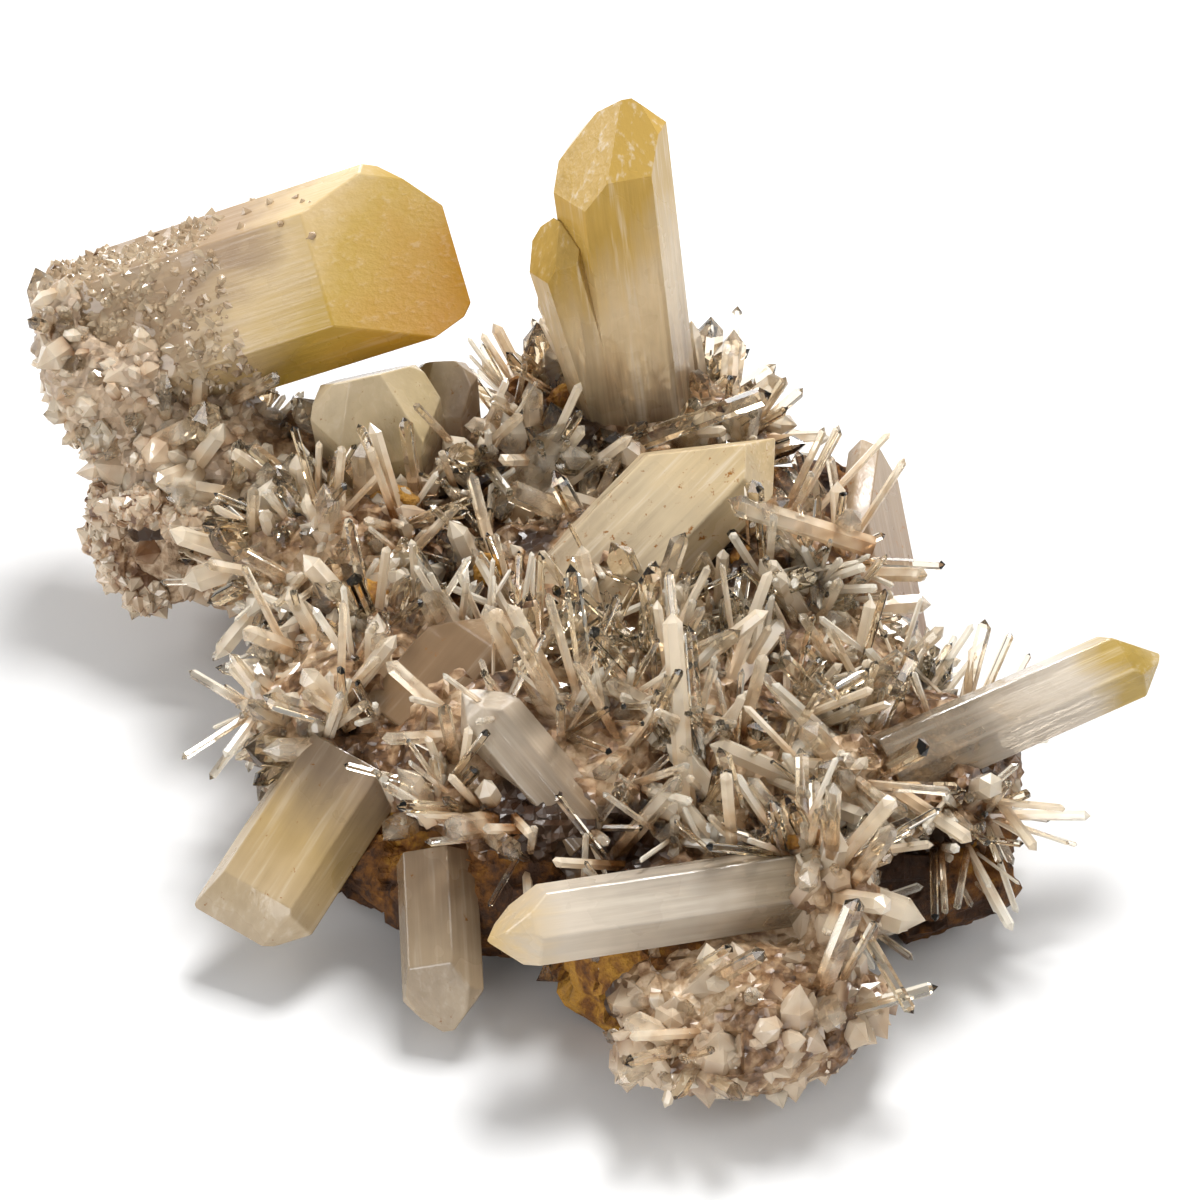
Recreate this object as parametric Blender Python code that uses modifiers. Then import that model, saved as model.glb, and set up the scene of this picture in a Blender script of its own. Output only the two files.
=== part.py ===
"""A mango quartz cluster: brown iron-stained rock, a druse of small clear quartz crystals grown on it,
and the larger crystals whose tips are coloured like mango.

The tables hold millimetres, X to the right, Y away from the front and Z up from the flat spot that the
cluster rests on. Every length is multiplied by MM when it becomes geometry.
"""

import math
import random
from collections import namedtuple

import bmesh
import bpy
from mathutils import Matrix, Vector, noise
from mathutils.bvhtree import BVHTree

MM = 0.001
GAP = 0.3  # clearance between a crystal and its socket
BED_GAP = 0.42  # clearance between the druse and the rock below it
DRUSE_FLOOR = 0.4  # the druse stays this far above the ground
CENTRE = Vector((-2.65, -3.82, 0.0))  # the middle of the plan, which becomes the origin
SIDES = 6  # quartz is a six-sided prism
PYRAMID_TILT = math.radians(51.8)  # from the long axis to the normal of a quartz pyramid face

Crystal = namedtuple("Crystal", "name foot tip width thickness faces drops finish")
Lump = namedtuple("Lump", "centre radii sprays")
Needle = namedtuple("Needle", "foot tip width turn")

# Each large crystal runs from its foot to its tip. width is across its broad face, which looks towards
# faces. drops lowers the six pyramid faces along the axis, counted from the broad face round to the left.
# Crystals of one name have grown together, and are joined.
CRYSTALS = [
    Crystal(
        "great_crystal", (-47.4, 31.2, 21.6), (-10.6, 29.5, 36.3), 16.5, 11,
        (0, -0.8, 0.6), (6.5, -6, -5, 0, -1.5, -0.5), "mango",
    ),
    Crystal(
        "tall_pair", (4.6, 29, 10), (0.2, 27, 50), 10.3, 7.5,
        (0.1, -0.9, 0.3), (1, -2.5, -2.5, 0, 0.5, 2.5), "mango",
    ),
    Crystal(
        "tall_pair", (3, 27, 10), (-4.6, 26, 39.5), 5.8, 5,
        (0, -0.9, 0.3), (1, 0, 0, 0, 0, 2), "mango",
    ),
    Crystal(
        "stub_pair", (-19, 26, 10), (-20, 18.5, 30), 11.6, 10,
        (0.1, -0.8, 0.5), (3, 2, 0, 3, 0, 1), "pale_mango",
    ),
    Crystal(
        "stub_pair", (-13.5, 29, 9), (-14, 25, 26), 6.2, 5.6,
        (0, -0.8, 0.5), (2, 0, 0, 1, 0, 1), "pale_mango",
    ),
    Crystal(
        "centre_crystal", (-6, 1, 11), (16, 16, 28), 11.5, 6.5,
        (-0.3, -0.6, 0.7), (0, 2, 1, 0, 5, 6), "pale_mango",
    ),
    Crystal(
        "right_crystal", (22.8, -17.5, 14.4), (46, -7.5, 19), 6.4, 5,
        (-0.2, -0.5, 0.8), (1, 0, 0, 0, 0, 1), "mango",
    ),
    Crystal(
        "front_crystal", (15, -29, 12.5), (-9.5, -36.5, 14.5), 6.4, 5,
        (0.1, -0.5, 0.8), (1, 2, 0, 0, 0, 1), "cream",
    ),
    Crystal(
        "hanging_crystal", (-13, -23, 10), (-12, -36, 2.5), 6.8, 5.5,
        (-0.3, -0.5, 0.8), (2, 0, 0, 0, 0, 0), "milky",
    ),
    Crystal(
        "corner_crystal", (-20, -14.5, 12.5), (-28.8, -26.8, 4.5), 9.8, 6,
        (-0.1, -0.5, 0.8), (0, -5, -4, 1, -2, -2), "cream",
    ),
    Crystal(
        "sunken_crystal", (-16.2, -12, 13.2), (-7.6, -3, 18.8), 10, 6,
        (-0.3, -0.5, 0.8), (0, -1, -1, 0, 0, 0), "milky",
    ),
    Crystal(
        "milky_crystal", (-0.5, -23.5, 12.5), (-11, -14.5, 21), 5.5, 4.5,
        (-0.3, -0.6, 0.7), (0, 1, 0, 0, 0, 0), "milky",
    ),
    Crystal(
        "rim_plate", (26.4, 9, 3.5), (22, 22.5, 21.5), 10.5, 3,
        (0.9, -0.4, 0.2), (0, 1, 1, 0, 4, 4), "pink_crust",
    ),
]

# The rock, as overlapping rounded lumps: centre, half sizes, and no sprays.
ROCK = [
    Lump((2, -14, 6), (26, 16, 9), 0),
    Lump((-16, -8, 6), (12, 13, 8), 0),
    Lump((24, -17, 5.5), (11, 8.5, 7), 0),
    Lump((8, -29, 6), (12, 9, 6.5), 0),
    Lump((-5, 10, 7), (21, 14, 9), 0),
    Lump((-25, 22, 8), (15, 9, 8), 0),
    Lump((0, 28, 7), (17, 11, 8), 0),
    Lump((19, -3, 6), (10, 9, 7), 0),
    Lump((19, 16, 9), (8, 10, 8.5), 0),
    Lump((-38, 21, 9), (7, 6, 5.5), 0),
    Lump((-38, 26, 12), (6, 6, 7), 0),
]

# The druse that covers the rock, in the same form, with the number of needle sprays on each lump.
DRUSE = [
    Lump((0, -13, 12.5), (20, 13, 6.5), 26),
    Lump((11, -35.5, 6), (11, 8, 5.8), 4),
    Lump((17.5, -29.3, 12.3), (4, 4.5, 4.6), 4),
    Lump((20.2, -19.5, 13.6), (4.2, 3.8, 4.8), 2),
    Lump((8, -27, 9), (12, 7, 5), 5),
    Lump((-18, -6, 12), (11, 11.5, 5.5), 9),
    Lump((25, -14, 10.5), (9.5, 9, 5.8), 9),
    Lump((19, -3, 11.5), (8, 8, 5.5), 5),
    Lump((2, 8, 13), (14, 10, 6), 8),
    Lump((16.5, 7, 12.5), (7.5, 9, 7), 8),
    Lump((-22, 12, 13), (10, 9, 6), 9),
    Lump((-28, 23, 13.5), (11, 7, 6), 5),
    Lump((-36, 25, 16), (8, 7, 6), 3),
    Lump((-45.4, 25.9, 22), (4.5, 4, 5.5), 0),
    Lump((-47.5, 29.5, 26), (3, 4, 4.5), 0),
    Lump((-40.5, 25, 22.6), (4.5, 3.8, 4.5), 0),
    Lump((-46, 29, 18.5), (3.4, 4.5, 3.6), 0),
    Lump((-41.5, 25.5, 16), (4.6, 5, 5), 0),
    Lump((-38.5, 22, 11), (6.6, 6, 6), 0),
    Lump((-8, 21, 14), (8, 6, 6), 4),
    Lump((2, 28, 14), (14, 9, 6), 12),
]

SPRAY_SEED = 27
GOLDEN_ANGLE = 2.39996  # spreads the sprays evenly over a lump
SPRAY_NEEDLES = (4, 9)
SPRAY_CONE = math.radians(58)
NEEDLE_LENGTH = (4.0, 11.0)
NEEDLE_WIDTH = (0.7, 2.3)
STOUT_WIDTH = 1.5  # thinner needles are too fine for the solid

# Single small crystals that stand out of the druse: foot, tip and width.
ACCENTS = [
    ((-26, -4.4, 13), (-32, -3.9, 14), 1.4),
    ((9.6, 32.5, 15), (10.1, 33.6, 24), 2.6),
    ((11.4, 31.5, 15), (12.4, 34.7, 22), 2.4),
    ((11.5, 31.5, 16.5), (16.2, 33.3, 19), 1.8),
    ((7, -25, 13), (5.6, -14.3, 28), 1.6),
    ((8.2, -24, 13), (6.9, -14.7, 27), 1.3),
    ((21, -6.1, 14), (22.3, -3.6, 21), 1.3),
    ((23.5, -8, 12), (29.3, -5.5, 16), 2.2),
    ((26, -9, 11), (28.9, -5.9, 14), 1.6),
    ((12.5, -37.5, 4.5), (13.9, -42.3, 1.6), 2.0),
    ((-48.2, 29.5, 23), (-49.7, 32.5, 30.2), 3.4),
    ((0, -0.8, 16), (-1.7, 2.3, 22), 1.4),
    ((4.2, -0.1, 15), (6.8, 1.5, 24), 1.6),
    ((-13, -22, 13.2), (-15.8, -20.5, 17.5), 3.0),
    ((3.3, -5.5, 16), (4.5, -1.1, 23), 1.4),
    ((-8.4, 19.4, 14), (-7.3, 21, 22.5), 3.0),
    ((-8.1, 15.8, 13.5), (-2.6, 19, 22.5), 4.4),
    ((-8.8, 19.5, 15), (-14.1, 20.7, 20), 3.0),
    ((3.5, 21.5, 19), (15, 21, 24.5), 1.8),
    ((14.9, -29.5, 11), (13.1, -27.2, 20), 1.5),
    ((15.9, -20, 13), (16.9, -16.8, 18.5), 3.8),
    ((-10.6, 7.3, 15), (-12.5, 7.8, 20.5), 2.2),
    ((8.8, 8, 18), (16, 7.9, 22.5), 1.6),
    ((-30, 13, 13), (-29.3, 15.6, 19.5), 2.6),
    ((-26.3, 15, 13), (-26.7, 17.3, 21), 2.8),
]

ROCK_VOXEL, ROCK_BUMP, ROCK_FACES = 1.6, 1.4, 1000
DRUSE_VOXEL, DRUSE_BUMP, DRUSE_FACES = 1.4, 1.2, 1200

COLOURS = {
    "mango": (0.78, 0.60, 0.27, 0.35),
    "pale_mango": (0.74, 0.68, 0.48, 0.4),
    "cream": (0.82, 0.77, 0.64, 0.35),
    "milky": (0.80, 0.76, 0.70, 0.3),
    "pink_crust": (0.66, 0.54, 0.44, 0.6),
    "clear": (0.72, 0.65, 0.57, 0.15),
    "rock": (0.22, 0.10, 0.03, 0.9),
}


def clear_scene():
    for obj in list(bpy.data.objects):
        bpy.data.objects.remove(obj, do_unlink=True)


def collection(name):
    made = bpy.data.collections.new(name)
    bpy.context.scene.collection.children.link(made)
    return made


def material(name):
    red, green, blue, roughness = COLOURS[name]
    made = bpy.data.materials.get(name) or bpy.data.materials.new(name)
    made.use_nodes = True
    shader = made.node_tree.nodes["Principled BSDF"]
    shader.inputs["Base Color"].default_value = (red, green, blue, 1)
    shader.inputs["Roughness"].default_value = roughness
    shader.inputs["Metallic"].default_value = 0
    return made


def object_from(bm, name, home):
    """A new object in the collection home that holds this bmesh."""
    mesh = bpy.data.meshes.new(name)
    bm.to_mesh(mesh)
    bm.free()
    obj = bpy.data.objects.new(name, mesh)
    home.objects.link(obj)
    return obj


def apply_modifiers(obj):
    """Replaces the object's mesh by the shape that its modifiers give."""
    bpy.context.view_layer.update()
    graph = bpy.context.evaluated_depsgraph_get()
    made = bpy.data.meshes.new_from_object(obj.evaluated_get(graph))
    obj.modifiers.clear()
    obj.data = made


def cut(bm, point, normal):
    """Cuts a convex mesh by a plane, drops the side that the normal points to, and closes the cut."""
    everything = bm.verts[:] + bm.edges[:] + bm.faces[:]
    found = bmesh.ops.bisect_plane(
        bm, geom=everything, plane_co=point, plane_no=normal, dist=1e-8, clear_outer=True
    )
    rim = [part for part in found["geom_cut"] if isinstance(part, bmesh.types.BMEdge)]
    if rim:
        bmesh.ops.holes_fill(bm, edges=rim, sides=0)


def crystal_planes(crystal, grown=0.0):
    """The planes that bound a crystal, as (point, outward normal) in millimetres."""
    foot, tip, faces = Vector(crystal.foot), Vector(crystal.tip), Vector(crystal.faces)
    axis = (tip - foot).normalized()
    front = (faces - faces.dot(axis) * axis).normalized()
    side = front.cross(axis)
    planes = [(foot - axis * grown, -axis)]
    for k, drop in enumerate(crystal.drops):
        turn = math.radians(90 + 360 / SIDES * k)
        out = side * math.cos(turn) + front * math.sin(turn)
        reach = crystal.thickness / 2 if k % 3 == 0 else crystal.width / 2 * math.cos(math.radians(30))
        planes.append((foot + out * (reach + grown), out))
        slope = out * math.sin(PYRAMID_TILT) + axis * math.cos(PYRAMID_TILT)
        planes.append((tip - axis * drop + slope * grown, slope))
    return planes


def crystal_object(crystal, name, home, grown=0.0):
    """A crystal cut from a block by the planes of its prism and pyramid faces."""
    middle = (Vector(crystal.foot) + Vector(crystal.tip)) / 2
    length = (Vector(crystal.tip) - Vector(crystal.foot)).length
    bm = bmesh.new()
    bmesh.ops.create_cube(bm, size=2 * length * MM, matrix=Matrix.Translation(middle * MM))
    for point, normal in crystal_planes(crystal, grown):
        cut(bm, point * MM, normal)
    bmesh.ops.remove_doubles(bm, verts=bm.verts, dist=1e-6)
    bmesh.ops.recalc_face_normals(bm, faces=bm.faces)
    return object_from(bm, name, home)


def in_crystal(point, crystal, margin):
    return all((point - on).dot(normal) < margin for on, normal in crystal_planes(crystal))


def in_lump(point, lump, margin):
    offset = point - Vector(lump.centre)
    scaled = Vector(offset[i] / (lump.radii[i] + margin) for i in range(3))
    return scaled.length < 1


def lumps_object(name, lumps, home, voxel, bump, faces):
    """Joins overlapping lumps into one skin, roughens it, and reduces it to flat facets."""
    bm = bmesh.new()
    for lump in lumps:
        place = Matrix.Translation(Vector(lump.centre) * MM) @ Matrix.Diagonal((*lump.radii, 1 / MM)) * MM
        bmesh.ops.create_icosphere(bm, subdivisions=4, radius=1, matrix=place)
    obj = object_from(bm, name, home)
    skin = obj.modifiers.new("skin", "REMESH")
    skin.mode = "VOXEL"
    skin.voxel_size = voxel * MM
    apply_modifiers(obj)
    roughen(obj.data, bump)
    fewer = obj.modifiers.new("facets", "DECIMATE")
    fewer.ratio = min(1.0, faces / (2 * len(obj.data.polygons)))
    fewer.use_collapse_triangulate = True
    apply_modifiers(obj)
    return obj


def cut_level(obj, height):
    """Removes what lies below this height, and closes the cut with a flat face."""
    bm = bmesh.new()
    bm.from_mesh(obj.data)
    cut(bm, (0, 0, height), (0, 0, -1))
    bm.to_mesh(obj.data)
    bm.free()


def roughen(mesh, bump):
    """Moves each vertex along its normal by blocky noise, up to about bump millimetres."""
    moves = []
    for vertex in mesh.vertices:
        place = vertex.co / MM
        broad = noise.noise(place / 7.0)
        blocky = noise.cell(place / 3.5) - 0.5
        moves.append(vertex.normal * (broad + 0.6 * blocky) * bump * MM)
    for vertex, move in zip(mesh.vertices, moves):
        vertex.co += move


def spray_needles(rock_skin):
    """Every needle of every spray. The draws don't depend on which needles are kept."""
    draw = random.Random(SPRAY_SEED)
    needles = []
    for lump in DRUSE:
        start = draw.uniform(0, 2 * math.pi)
        for number in range(lump.sprays):
            turn = start + GOLDEN_ANGLE * number
            height = 1 - 0.75 * (number + 0.5) / lump.sprays
            level = math.sqrt(1 - height * height)
            out = Vector((level * math.cos(turn), level * math.sin(turn), height))
            root = Vector(lump.centre) + Vector(out[i] * lump.radii[i] for i in range(3))
            normal = Vector(out[i] / lump.radii[i] for i in range(3)).normalized()
            buried = any(in_lump(root, other, -0.6) for other in DRUSE if other is not lump)
            for _ in range(draw.randint(*SPRAY_NEEDLES)):
                needle = spray_needle(draw, root, normal, 0.4 + 0.6 * height)
                if not buried:
                    needles.append(needle)
    return [needle for needle in needles if is_free(needle, rock_skin)]


def spray_needle(draw, root, normal, growth):
    """One needle that leans out of the root within the spray's cone. Those on the flanks grow less."""
    lean = SPRAY_CONE * math.sqrt(draw.random())
    turn = draw.uniform(0, 2 * math.pi)
    shift = Vector(draw.uniform(-1.6, 1.6) for _ in range(3))
    length = draw.uniform(*NEEDLE_LENGTH) * growth
    width = NEEDLE_WIDTH[0] + (NEEDLE_WIDTH[1] - NEEDLE_WIDTH[0]) * draw.random() ** 2.2
    side = normal.orthogonal().normalized()
    other = normal.cross(side)
    direction = normal * math.cos(lean) + (side * math.cos(turn) + other * math.sin(turn)) * math.sin(lean)
    foot = root + shift - shift.dot(normal) * normal - normal * 1.6
    return Needle(foot, foot + direction * (length + 1.6), width, turn)


def is_free(needle, rock_skin):
    """True if the needle clears the large crystals and the rock, and stays above the ground."""
    along = needle.tip - needle.foot
    for step in range(13):
        point = needle.foot + along * step / 12
        if point.z < DRUSE_FLOOR + needle.width / 2:
            return False
        if step > 2 and any(in_crystal(point, crystal, needle.width / 2 + GAP) for crystal in CRYSTALS):
            return False
        rock_point, _, _, distance = rock_skin.find_nearest(point * MM)
        if distance < (needle.width / 2 + GAP) * MM:
            return False
    return True


def lifted(needle, rock_skin):
    """The needle with its foot drawn up along its stem until it clears the rock."""
    foot, tip = Vector(needle.foot), Vector(needle.tip)
    for step in range(12):
        raised = foot.lerp(tip, step / 24)
        rock_point, _, _, distance = rock_skin.find_nearest(raised * MM)
        if distance > (needle.width / 2 + GAP) * MM:
            break
    return needle._replace(foot=raised, tip=tip)


def add_needle(bm, needle):
    """A six-sided prism with a pointed end, added to the bmesh."""
    foot, tip = Vector(needle.foot), Vector(needle.tip)
    axis = tip - foot
    radius = needle.width / 2
    point = radius * 1.1
    stem = axis.length - point
    stand = Matrix.Translation(foot * MM) @ axis.to_track_quat("Z", "Y").to_matrix().to_4x4()
    spin = Matrix.Rotation(needle.turn, 4, "Z")
    made = bmesh.ops.create_cone(
        bm, cap_ends=True, segments=SIDES, radius1=radius * MM, radius2=radius * MM, depth=stem * MM,
        matrix=stand @ spin @ Matrix.Translation((0, 0, stem * MM / 2)),
    )
    heading = axis.normalized()
    caps = {face for vertex in made["verts"] for face in vertex.link_faces if len(face.verts) == SIDES}
    top = max(caps, key=lambda face: face.calc_center_median().dot(heading))
    centre = bmesh.ops.poke(bm, faces=[top])["verts"][0]
    centre.co += heading * point * MM


def needles_object(name, needles, home):
    bm = bmesh.new()
    for needle in needles:
        add_needle(bm, needle)
    bmesh.ops.recalc_face_normals(bm, faces=bm.faces)
    return object_from(bm, name, home)


def boolean(obj, operation, other=None, others=None):
    """Cuts or joins with the EXACT solver, and makes the result the object's mesh."""
    step = obj.modifiers.new(operation.lower(), "BOOLEAN")
    step.operation = operation
    step.solver = "EXACT"
    step.use_self = operation == "UNION"
    if others:
        step.operand_type = "COLLECTION"
        step.collection = others
    else:
        step.object = other
    apply_modifiers(obj)


def keep_main_body(obj):
    """Deletes the chips and sealed bubbles that the cuts leave beside the main body."""
    bm = bmesh.new()
    bm.from_mesh(obj.data)
    bmesh.ops.remove_doubles(bm, verts=bm.verts, dist=1e-7)
    bodies, seen = [], set()
    for start in bm.verts:
        if start in seen:
            continue
        body, waiting = [], [start]
        seen.add(start)
        while waiting:
            vertex = waiting.pop()
            body.append(vertex)
            for edge in vertex.link_edges:
                other = edge.other_vert(vertex)
                if other not in seen:
                    seen.add(other)
                    waiting.append(other)
        bodies.append(body)
    bodies.sort(key=len)
    chips = [vertex for body in bodies[:-1] for vertex in body]
    bmesh.ops.delete(bm, geom=chips, context="VERTS")
    bmesh.ops.triangulate(bm, faces=bm.faces)
    bm.to_mesh(obj.data)
    bm.free()


def grown_copy(obj, name, home, amount):
    """A copy whose skin lies this far outside the object's."""
    bm = bmesh.new()
    bm.from_mesh(obj.data)
    bm.normal_update()
    for vertex in bm.verts:
        vertex.co += vertex.normal * min(vertex.calc_shell_factor(), 3) * amount * MM
    return object_from(bm, name, home)


def as_cutter(obj):
    obj.hide_render = True
    obj.display_type = "WIRE"
    return obj


def finish(obj, finish_name):
    """Gives the piece its material and puts the cluster's middle at the origin."""
    obj.data.transform(Matrix.Translation(-CENTRE * MM))
    obj.data.materials.clear()
    obj.data.materials.append(material(finish_name))


def build():
    clear_scene()
    cluster = collection("mango_quartz")
    cutters = collection("cutters")
    sockets = collection("sockets")
    cutters.hide_render = True
    sockets.hide_render = True

    for crystal in CRYSTALS:
        as_cutter(crystal_object(crystal, "socket_" + crystal.name, sockets, GAP))

    druse = lumps_object("druse", DRUSE, cluster, DRUSE_VOXEL, DRUSE_BUMP, DRUSE_FACES)
    rock = lumps_object("rock", ROCK, cluster, ROCK_VOXEL, ROCK_BUMP, ROCK_FACES)
    cut_level(rock, 0.0)
    for amount in (BED_GAP, BED_GAP / 2):
        boolean(rock, "DIFFERENCE", other=as_cutter(grown_copy(druse, "druse_bed", cutters, amount)))
    cut_level(druse, DRUSE_FLOOR * MM)
    boolean(rock, "DIFFERENCE", others=sockets)
    keep_main_body(rock)

    bm = bmesh.new()
    bm.from_mesh(rock.data)
    rock_skin = BVHTree.FromBMesh(bm)
    bm.free()
    small = [lifted(Needle(foot, tip, width, 0.4), rock_skin) for foot, tip, width in ACCENTS]
    small += [needle for needle in spray_needles(rock_skin) if needle.width > STOUT_WIDTH]
    print("small crystals in the solid:", len(small))
    needles = as_cutter(needles_object("needles", small, cutters))
    boolean(druse, "UNION", other=needles)
    boolean(druse, "DIFFERENCE", others=sockets)
    keep_main_body(druse)

    finish(rock, "rock")
    finish(druse, "clear")
    grown_together = {}
    for crystal in CRYSTALS:
        first = grown_together.get(crystal.name)
        if first is None:
            grown_together[crystal.name] = crystal_object(crystal, crystal.name, cluster)
        else:
            boolean(first, "UNION", other=as_cutter(crystal_object(crystal, "twin", cutters)))
    for crystal in CRYSTALS:
        piece = grown_together.pop(crystal.name, None)
        if piece:
            finish(piece, crystal.finish)


build()
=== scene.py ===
# %% [markdown]
# # Mango quartz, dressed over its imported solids
# The cluster is brown iron-stained rock under a druse, a skin of small clear crystals, with larger crystals
# whose tips are yellow like mango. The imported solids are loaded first. They stay the measure of everything,
# so each piece below is built in the same place and at the same size, only finer.

import math
import random
from collections import namedtuple

import bmesh
import bpy
import numpy as np
from mathutils import Matrix, Vector, noise
from mathutils.bvhtree import BVHTree


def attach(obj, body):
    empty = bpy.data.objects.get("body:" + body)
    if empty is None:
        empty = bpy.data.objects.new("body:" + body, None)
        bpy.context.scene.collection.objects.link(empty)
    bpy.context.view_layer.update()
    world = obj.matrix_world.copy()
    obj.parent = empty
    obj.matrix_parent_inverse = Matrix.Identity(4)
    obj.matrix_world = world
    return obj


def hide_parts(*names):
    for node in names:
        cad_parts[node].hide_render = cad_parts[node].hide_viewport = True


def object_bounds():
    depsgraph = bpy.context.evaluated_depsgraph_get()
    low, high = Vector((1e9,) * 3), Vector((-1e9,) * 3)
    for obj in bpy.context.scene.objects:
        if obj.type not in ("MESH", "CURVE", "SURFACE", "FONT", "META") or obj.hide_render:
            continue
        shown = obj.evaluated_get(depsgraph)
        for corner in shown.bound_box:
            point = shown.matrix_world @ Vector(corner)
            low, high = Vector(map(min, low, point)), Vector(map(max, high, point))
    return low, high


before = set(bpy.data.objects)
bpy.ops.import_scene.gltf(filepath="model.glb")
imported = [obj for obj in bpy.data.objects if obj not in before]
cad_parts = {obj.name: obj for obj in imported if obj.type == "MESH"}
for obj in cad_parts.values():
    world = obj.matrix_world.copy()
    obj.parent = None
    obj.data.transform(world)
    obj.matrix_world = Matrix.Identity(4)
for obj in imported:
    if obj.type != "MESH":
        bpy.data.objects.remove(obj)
solid_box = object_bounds()
MM = 0.001
CENTRE = Vector((-2.65, -3.82, 0))  # where the tables put the middle of the plan, in millimetres
print("packed nodes:", len(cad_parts))

# %% [markdown]
# # The large crystals as planes
# Quartz grows as a six-sided prism with six pyramid faces at its end, each tilted 51.8 degrees from a
# square-cut end. A table of feet, tips and widths describes every large crystal, flattened ones too, because
# the faces follow from it. The planes say where a small crystal would run into a large one, and the same
# table gives each finish the axis that its colour follows.

# %% The table of large crystals, in millimetres
Crystal = namedtuple("Crystal", "name foot tip width thickness faces drops")
SIDES = 6
PYRAMID_TILT = math.radians(51.8)

CRYSTALS = [
    Crystal("great_crystal", (-47.4, 31.2, 21.6), (-10.6, 29.5, 36.3), 16.5, 11,
        (0, -0.8, 0.6), (6.5, -6, -5, 0, -1.5, -0.5)),
    Crystal("tall_pair", (4.6, 29, 10), (0.2, 27, 50), 10.3, 7.5,
        (0.1, -0.9, 0.3), (1, -2.5, -2.5, 0, 0.5, 2.5)),
    Crystal("tall_pair", (3, 27, 10), (-4.6, 26, 39.5), 5.8, 5,
        (0, -0.9, 0.3), (1, 0, 0, 0, 0, 2)),
    Crystal("stub_pair", (-19, 26, 10), (-20, 18.5, 30), 11.6, 10,
        (0.1, -0.8, 0.5), (3, 2, 0, 3, 0, 1)),
    Crystal("stub_pair", (-13.5, 29, 9), (-14, 25, 26), 6.2, 5.6,
        (0, -0.8, 0.5), (2, 0, 0, 1, 0, 1)),
    Crystal("centre_crystal", (-6, 1, 11), (16, 16, 28), 11.5, 6.5,
        (-0.3, -0.6, 0.7), (0, 2, 1, 0, 5, 6)),
    Crystal("right_crystal", (22.8, -17.5, 14.4), (46, -7.5, 19), 6.4, 5,
        (-0.2, -0.5, 0.8), (1, 0, 0, 0, 0, 1)),
    Crystal("front_crystal", (15, -29, 12.5), (-9.5, -36.5, 14.5), 6.4, 5,
        (0.1, -0.5, 0.8), (1, 2, 0, 0, 0, 1)),
    Crystal("hanging_crystal", (-13, -23, 10), (-12, -36, 2.5), 6.8, 5.5,
        (-0.3, -0.5, 0.8), (2, 0, 0, 0, 0, 0)),
    Crystal("corner_crystal", (-20, -14.5, 12.5), (-28.8, -26.8, 4.5), 9.8, 6,
        (-0.1, -0.5, 0.8), (0, -5, -4, 1, -2, -2)),
    Crystal("sunken_crystal", (-16.2, -12, 13.2), (-7.6, -3, 18.8), 10, 6,
        (-0.3, -0.5, 0.8), (0, -1, -1, 0, 0, 0)),
    Crystal("milky_crystal", (-0.5, -23.5, 12.5), (-11, -14.5, 21), 5.5, 4.5,
        (-0.3, -0.6, 0.7), (0, 1, 0, 0, 0, 0)),
    Crystal("rim_plate", (26.4, 9, 3.5), (22, 22.5, 21.5), 10.5, 3,
        (0.9, -0.4, 0.2), (0, 1, 1, 0, 4, 4)),
]


def crystal_planes(crystal):
    """The planes that bound a crystal, as (point, outward normal)."""
    foot, tip, faces = Vector(crystal.foot), Vector(crystal.tip), Vector(crystal.faces)
    axis = (tip - foot).normalized()
    front = (faces - faces.dot(axis) * axis).normalized()
    side = front.cross(axis)
    planes = [(foot, -axis)]
    for k, drop in enumerate(crystal.drops):
        turn = math.radians(90 + 360 / SIDES * k)
        out = side * math.cos(turn) + front * math.sin(turn)
        reach = crystal.thickness / 2 if k % 3 == 0 else crystal.width / 2 * math.cos(math.radians(30))
        planes.append((foot + out * reach, out))
        planes.append((tip - axis * drop, out * math.sin(PYRAMID_TILT) + axis * math.cos(PYRAMID_TILT)))
    return planes


WALLS = [crystal_planes(crystal) for crystal in CRYSTALS]


def in_large_crystal(point, margin):
    return any(all((point - on).dot(normal) < margin for on, normal in planes) for planes in WALLS)


print("large crystals:", len({crystal.name for crystal in CRYSTALS}))

# %% [markdown]
# # A wrapper for shader arithmetic
# A finish such as "yellow towards the tip, streaked along the crystal" is arithmetic on numbers that change
# over the surface. The small class below wraps a node's output, so that a plus sign adds a Math node. A
# second class holds one material and adds every other node through one method.

# %% Shader nodes as Python expressions
class Wire:
    """A node's output. Arithmetic on it adds Math nodes to its finish."""

    def __init__(self, finish, socket):
        self.finish = finish
        self.socket = socket

    def math(self, operation, first, second, clamp=False):
        settings = {"operation": operation, "use_clamp": clamp}
        return self.finish.node("ShaderNodeMath", settings, {0: first, 1: second})

    def __add__(self, other):
        return self.math("ADD", self, other)

    def __radd__(self, other):
        return self.math("ADD", other, self)

    def __sub__(self, other):
        return self.math("SUBTRACT", self, other)

    def __rsub__(self, other):
        return self.math("SUBTRACT", other, self)

    def __mul__(self, other):
        return self.math("MULTIPLY", self, other)

    def clamped(self):
        return self.math("ADD", self, 0.0, clamp=True)


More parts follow.
